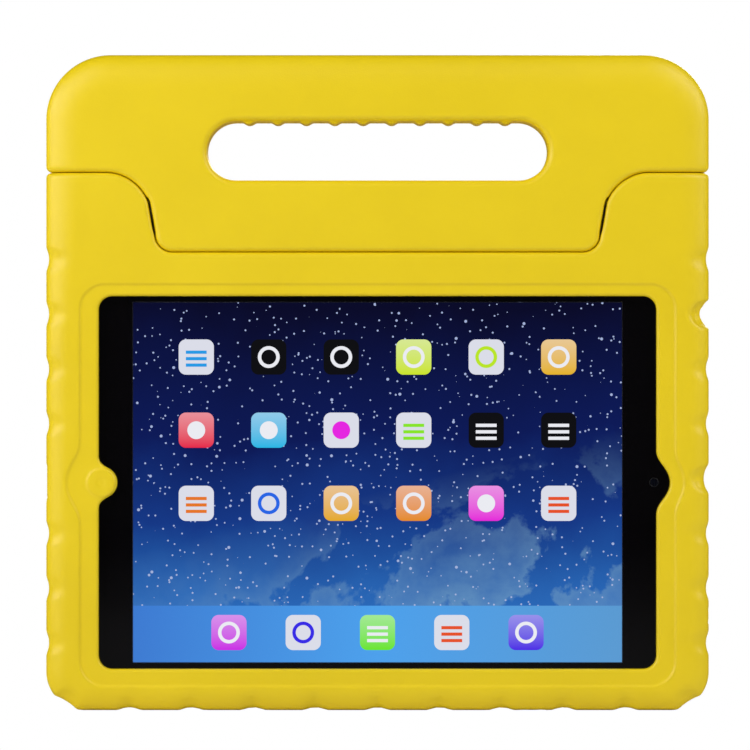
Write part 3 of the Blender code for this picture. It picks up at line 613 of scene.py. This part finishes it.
def new_look(name, colour, roughness, metallic=0.0):
    look = bpy.data.materials.new(name)
    look.use_nodes = True
    shader = look.node_tree.nodes["Principled BSDF"]
    shader.inputs["Base Color"].default_value = colour
    shader.inputs["Roughness"].default_value = roughness
    shader.inputs["Metallic"].default_value = metallic
    place = look.node_tree.nodes.new("ShaderNodeTexCoord")
    return look, shader, Socket(look.node_tree, place.outputs["Object"])


def foam_look():
    look, shader, at = new_look("foam_yellow", linear(236, 205, 4), 0.43)
    shader.inputs["Specular IOR Level"].default_value = 0.5
    grain = at.node("ShaderNodeTexNoise", n0=at, Scale=1400.0, Detail=3.0, Roughness=0.55)
    patch = at.node("ShaderNodeTexNoise", Vector=at, Scale=28.0, Detail=2.0)
    tone = patch.range(0.3, 0.7).mix(linear(233, 203, 2), linear(237, 207, 6))
    look.node_tree.links.new(tone.socket, shader.inputs["Base Color"])
    rough = grain.range(0.3, 0.7, 0.37, 0.49)
    look.node_tree.links.new(rough.socket, shader.inputs["Roughness"])
    bump = at.node("ShaderNodeBump", Height=grain, Strength=0.12, Distance=0.0004)
    look.node_tree.links.new(bump.socket, shader.inputs["Normal"])
    return look


def plastic_look():
    look, shader, at = new_look("pivot_black", linear(14, 14, 15), 0.4)
    grain = at.node("ShaderNodeTexNoise", Vector=at, Scale=3000.0)
    look.node_tree.links.new(grain.range(0.3, 0.7, 0.34, 0.5).socket, shader.inputs["Roughness"])
    return look


def metal_look():
    look, shader, at = new_look("blasted_metal", linear(186, 188, 192), 0.35, 1.0)
    grain = at.node("ShaderNodeTexNoise", Vector=at, Scale=5000.0)
    look.node_tree.links.new(grain.range(0.3, 0.7, 0.3, 0.42).socket, shader.inputs["Roughness"])
    return look


def glass_look():
    look, shader, at = new_look("border_black_glass", linear(4, 3, 5), 0.06)
    smear = at.node("ShaderNodeTexNoise", Vector=at, Scale=40.0)
    look.node_tree.links.new(smear.range(0.3, 0.8, 0.05, 0.12).socket, shader.inputs["Roughness"])
    return look


def lens_look():
    look, shader, at = new_look("lens_glass", linear(10, 12, 26), 0.05)
    ring = at.node("ShaderNodeTexWave", Vector=at, Scale=300.0)
    tint = ring.mix(linear(4, 5, 10), linear(10, 12, 24))
    look.node_tree.links.new(tint.socket, shader.inputs["Base Color"])
    return look


def screen_look():
    """A plain generic start screen: night sky, rows of rounded tiles and a strip with a few more."""
    look, shader, at = new_look("lit_screen", (0.0, 0.0, 0.0, 1.0), 0.08)
    tree = look.node_tree
    parts = tree.nodes.new("ShaderNodeSeparateXYZ")
    tree.links.new(at.socket, parts.inputs[0])
    width, height = SCREEN_HIGH.x - SCREEN_LOW.x, SCREEN_HIGH.z - SCREEN_LOW.z
    u = (Socket(tree, parts.outputs["X"]) - SCREEN_LOW.x) / width
    v = (Socket(tree, parts.outputs["Z"]) - SCREEN_LOW.z) / height
    cloud = at.node("ShaderNodeTexNoise", Vector=at, Scale=14.0, Detail=5.0, Roughness=0.55)
    fall = v + (cloud - 0.5) * 0.3
    sky = fall.range(1.0, 0.6).mix(linear(8, 9, 42), linear(12, 27, 92))
    sky = fall.range(0.62, 0.4).mix(sky, linear(22, 58, 138))
    sky = fall.range(0.4, 0.14).mix(sky, linear(42, 108, 190))
    puff = at.node("ShaderNodeTexNoise", Vector=at, Scale=20.0, Detail=9.0, Roughness=0.55, Distortion=0.2)
    low_right = (v - u * 0.35).range(0.3, -0.08)
    haze = puff.range(0.475, 0.5) * puff.range(0.49, 0.6, 1.0, 0.3) * low_right
    sky = (haze * cloud.range(0.3, 0.6, 0.25, 0.6)).mix(sky, linear(126, 174, 206))
    for scale, size, share in STARS:
        star = at.node("ShaderNodeTexVoronoi", Vector=at, Scale=scale)
        tint = at.node("ShaderNodeTexVoronoi", 1, Vector=at, Scale=scale)
        shine = (star < size) * (tint > share)
        sky = shine.mix(sky, linear(170, 185, 225))
    strip = v < STRIP_HEIGHT
    glow = u.range(0.0, 0.5).mix(linear(62, 126, 216), linear(78, 165, 243))
    glow = u.range(0.5, 1.0).mix(glow, linear(93, 159, 216))
    sky = strip.mix(sky, glow)
    picture = tiles(sky, u, v, width, height, *SKY_TILES)
    picture = tiles(picture, u, v, width, height, *STRIP_TILES)
    tree.links.new(picture.socket, shader.inputs["Emission Color"])
    shader.inputs["Emission Strength"].default_value = 0.93
    return look


def tiles(under, u, v, width, height, columns, rows, span_u, span_v, seed):
    """Rows of rounded tiles with a plain shape on each, laid over a picture."""
    across = (u - span_u[0]) * (columns / (span_u[1] - span_u[0]))
    upward = (v - span_v[0]) * (rows / (span_v[1] - span_v[0]))
    column, row = across.math("FLOOR"), upward.math("FLOOR")
    x = (across - column - 0.5) * (width * (span_u[1] - span_u[0]) / columns)
    y = (upward - row - 0.5) * (height * (span_v[1] - span_v[0]) / rows)
    a = (x.math("ABSOLUTE") - (TILE_HALF - TILE_CORNER)).math("MAXIMUM", 0.0)
    b = (y.math("ABSOLUTE") - (TILE_HALF - TILE_CORNER)).math("MAXIMUM", 0.0)
    corner = (a * a + b * b).math("SQRT")
    known = (across > 0.0) * (across < float(columns)) * (upward > 0.0) * (upward < float(rows))
    tile = (corner < TILE_CORNER) * known
    place = under.node("ShaderNodeCombineXYZ", X=column, Y=row, Z=seed)
    chance = under.node("ShaderNodeTexWhiteNoise", Vector=place)
    other = under.node("ShaderNodeTexWhiteNoise", settings=[("noise_dimensions", "4D")], Vector=place, W=4.0)
    colour = under.node("ShaderNodeHueSaturation", Hue=chance, Color=linear(236, 46, 40))
    pale = other > 0.62
    dark = other < 0.16
    ground = (y / TILE_HALF).range(-1.0, 1.0, 0.0, 0.3).mix(colour, linear(250, 250, 255))
    ground = dark.mix(pale.mix(ground, linear(226, 228, 240)), linear(14, 14, 18))
    ink = pale.mix(linear(242, 243, 250), colour)
    away = (x * x + y * y).math("SQRT")
    ring = (away < RING_RADII[1]) * (away > RING_RADII[0])
    dot = away < DOT_RADIUS
    bars = (y / BAR_PITCH).math("FRACT") > 0.5
    bars = bars * (x.math("ABSOLUTE") < BARS_HALF[0]) * (y.math("ABSOLUTE") < BARS_HALF[1])
    shape = (chance * 7.3).math("FRACT")
    mark = (shape < 0.34) * ring + (shape > 0.34) * (shape < 0.67) * dot + (shape > 0.67) * bars
    return tile.mix(under, mark.mix(ground, ink))


def wear(node, look):
    thing = frame["nodes"][node]
    thing.data.materials.clear()
    thing.data.materials.append(look)


def collars(look):
    """The thin black collars of the bushes, which show in the split line at the pivots. They are real parts,
    and they are also painted shade: their black fills the gap where the split lies in shade.
    """
    half, outer = COLLAR_THICKNESS / 2, COLLAR_RADIUS - COLLAR_EDGE
    section = ((COLLAR_BORE, -half), (outer, -half), (COLLAR_RADIUS, COLLAR_EDGE - half),
               (COLLAR_RADIUS, half - COLLAR_EDGE), (outer, half), (COLLAR_BORE, half))
    count = len(section)
    for name, side in (("left", -1), ("right", 1)):
        points, faces = [], []
        for turn in range(COLLAR_TURNS):
            angle = 2 * math.pi * turn / COLLAR_TURNS
            points += [(x, radius * math.cos(angle), radius * math.sin(angle)) for radius, x in section]
            for i in range(count):
                ahead, beside = (turn + 1) % COLLAR_TURNS, (i + 1) % count
                ring = ((turn, i), (ahead, i), (ahead, beside), (turn, beside))
                faces.append([t * count + j for t, j in ring])
        mesh = bpy.data.meshes.new("pivot_collar_" + name)
        mesh.from_pydata(points, [], faces)
        collar = bpy.data.objects.new("pivot_collar_" + name, mesh)
        collar.location = (side * TONGUE_HALF, 0, PIVOT_HEIGHT)
        mesh.materials.append(look)
        bpy.context.scene.collection.objects.link(collar)
        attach(collar, "grip")


def case_axes():
    """Grid lines of the case, finer at its joint, its step round the window and its rims."""
    half = stations(
        (0, 76, 3.2), (76, 99, 0.8), (99, 110.5, 1.0), (110.5, 116.5, 0.6), (116.5, 121.5, 0.45),
        (121.5, 135, 0.8),
    )
    depth = stations((-14, -9.5, 0.45), (-9.5, 8, 1.0), (8, 14.4, 0.7))
    height = stations(
        (-1.2, 9, 0.8), (9, 18.5, 0.6), (18.5, 82, 1.3), (82, 103, 0.8), (103, 165, 1.3),
        (165, 170, 0.6), (170, 173, 0.45), (173, 182, 1.3), (182, 219, 0.8),
    )
    return mirrored(half), depth, height


def handle_axes():
    """Grid lines of the handle, finer at its joint, its slot and its rims."""
    half = stations((0, 76, 0.85), (76, 101, 0.8), (101, 121, 1.6), (121, 135, 0.9))
    depth = stations((-14.4, -9.5, 0.5), (-9.5, 8, 1.0), (8, 14.4, 0.7))
    height = stations((180, 190, 0.6), (190, 211, 1.0), (211, 240, 0.7), (240, 252, 1.3), (252, 265.2, 0.8))
    return mirrored(half), depth, height


def flat_sheet(name, corners, look):
    mesh = bpy.data.meshes.new(name)
    mesh.from_pydata(corners, [], [range(len(corners))])
    mesh.materials.append(look)
    sheet = bpy.data.objects.new(name, mesh)
    bpy.context.scene.collection.objects.link(sheet)


def stage_look():
    """Pale surface that the camera itself sees as plain white, and that doesn't shine in the glass."""
    look, shader, _ = new_look("studio_white", (0.95, 0.95, 0.95, 1.0), 0.9)
    tree = look.node_tree
    rays = tree.nodes.new("ShaderNodeLightPath")
    white = tree.nodes.new("ShaderNodeEmission")
    mixed = tree.nodes.new("ShaderNodeMixShader")
    pale = Socket(tree, rays.outputs["Is Glossy Ray"]).mix((0.95, 0.95, 0.95, 1.0), (0.1, 0.1, 0.1, 1.0))
    tree.links.new(pale.socket, shader.inputs["Base Color"])
    tree.links.new(rays.outputs["Is Camera Ray"], mixed.inputs[0])
    tree.links.new(shader.outputs[0], mixed.inputs[1])
    tree.links.new(white.outputs[0], mixed.inputs[2])
    tree.links.new(mixed.outputs[0], tree.nodes["Material Output"].inputs["Surface"])
    return look


def area_light(name, place, target, size, power):
    lamp = bpy.data.lights.new(name, "AREA")
    lamp.shape = "DISK"
    lamp.size = size
    lamp.energy = power
    holder = bpy.data.objects.new(name, lamp)
    holder.location = place
    holder.rotation_euler = (Vector(target) - Vector(place)).to_track_quat("-Z", "Y").to_euler()
    bpy.context.scene.collection.objects.link(holder)


def studio():
    world = bpy.data.worlds.new("studio")
    bpy.context.scene.world = world
    world.use_nodes = True
    tree = world.node_tree
    plain = tree.nodes["Background"]
    rays = tree.nodes.new("ShaderNodeLightPath")
    dim = Socket(tree, rays.outputs["Is Glossy Ray"]).mix((0.1, 0.1, 0.1, 1.0), (0.03, 0.03, 0.03, 1.0))
    level = Socket(tree, rays.outputs["Is Camera Ray"]).mix(dim, (1.0, 1.0, 1.0, 1.0))
    tree.links.new(level.socket, plain.inputs["Color"])
    reach = 3.0
    corners = [(-reach, -reach, 0), (reach, -reach, 0), (reach, reach, 0), (-reach, reach, 0)]
    flat_sheet("floor", corners, stage_look())
    middle = (0, 0, CASE_HEIGHT / 2)
    for name, (place, size, power) in LIGHTS.items():
        area_light(name, place, middle, size, power)


def camera():
    lens = bpy.data.cameras.new("photo_view")
    lens.sensor_width = 36.0
    lens.lens = lens.sensor_width * VIEW_DISTANCE / (PHOTO_WIDTH * PIXEL)
    lens.clip_end = 20
    eye = bpy.data.objects.new("photo_view", lens)
    x = (PHOTO_WIDTH / 2 - MIDLINE_PIXEL) * PIXEL
    z = (BASE_PIXEL - PHOTO_WIDTH / 2) * PIXEL
    eye.location = (x, -HALF_DEPTH - VIEW_DISTANCE, z)
    eye.rotation_euler = (math.pi / 2, 0, 0)
    bpy.context.scene.collection.objects.link(eye)
    bpy.context.scene.camera = eye


bpy.context.scene.view_settings.view_transform = "Standard"
camera()
studio()
foam = foam_look()
moulding("foam_case", case_field, case_axes(), foam, "case", "case_body")
moulding("foam_handle", handle_field, handle_axes(), foam, "grip", "handle")
black = plastic_look()
# Black collars at the pivots, partly painted shade where the split line runs dark
collars(black)
for pivot in ("pivot_pin_left", "pivot_pin_right", "pivot_bush_left", "pivot_bush_right"):
    wear(pivot, black)
wear("tablet_rear_shell", metal_look())
wear("tablet_front_glass", glass_look())
wear("tablet_display", screen_look())
lens = lens_look()
wear("tablet_front_camera", lens)
wear("tablet_rear_camera", lens)
